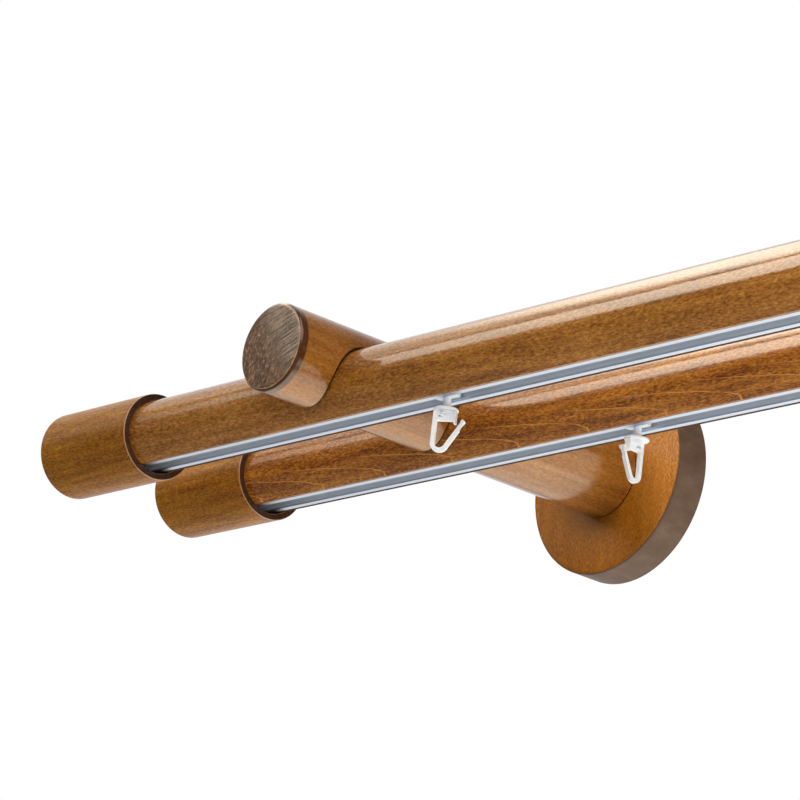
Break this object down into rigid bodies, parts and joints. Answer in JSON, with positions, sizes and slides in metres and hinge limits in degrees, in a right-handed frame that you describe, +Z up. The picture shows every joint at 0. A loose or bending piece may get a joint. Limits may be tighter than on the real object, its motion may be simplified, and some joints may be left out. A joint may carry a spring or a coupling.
{
  "type": "double curtain pole",
  "caption": "Double round wooden curtain pole with aluminium glider tracks let into the undersides, carried by saddle-notched round arms on wall rosettes, with end caps and swivel hook gliders.",
  "frame": {"origin": "on the wall plane, midway between the two brackets, at the height of the bracket arms' axes", "axes": "+X along the poles, +Y into the wall, +Z up"},
  "size_m": [1.052, 0.1858, 0.0798],
  "materials": {
    "pole_wood": "satin",
    "cap_wood": "satin",
    "bracket_wood": "satin",
    "track_aluminium": "satin",
    "zinc_steel": "satin",
    "white_nylon": "satin"
  },
  "bodies": {
    "pole_set": {"pole_front": "pole_wood", "track_front": "track_aluminium", "end_cap_front_left": "cap_wood", "pole_screw_front_left": "zinc_steel", "end_cap_front_right": "cap_wood", "pole_screw_front_right": "zinc_steel", "pole_rear": "pole_wood", "track_rear": "track_aluminium", "end_cap_rear_left": "cap_wood", "pole_screw_rear_left": "zinc_steel", "end_cap_rear_right": "cap_wood", "pole_screw_rear_right": "zinc_steel", "bracket_arm_left": "bracket_wood", "wall_rosette_left": "bracket_wood", "threaded_insert_left": "zinc_steel", "bracket_arm_right": "bracket_wood", "wall_rosette_right": "bracket_wood", "threaded_insert_right": "zinc_steel"},
    "glider_front": {"glider_front": "white_nylon"},
    "hook_front": {"curtain_hook_front": "white_nylon"},
    "glider_rear": {"glider_rear": "white_nylon"},
    "hook_rear": {"curtain_hook_rear": "white_nylon"}
  },
  "joints": [
    {"name": "glider_front_slide", "type": "slide", "parent": "pole_set", "child": "glider_front", "axis": [1, 0, 0], "range_m": [-0.1612, 0.7732]},
    {"name": "hook_front_swivel", "type": "hinge", "parent": "glider_front", "child": "hook_front", "pos_m": [-0.306, -0.1525, -0.0244], "axis": [0, 0, 1], "continuous": true},
    {"name": "glider_rear_slide", "type": "slide", "parent": "pole_set", "child": "glider_rear", "axis": [1, 0, 0], "range_m": [-0.1991, 0.7353]},
    {"name": "hook_rear_swivel", "type": "hinge", "parent": "glider_rear", "child": "hook_rear", "pos_m": [-0.2681, -0.095, -0.0244], "axis": [0, 0, 1], "continuous": true}
  ]
}
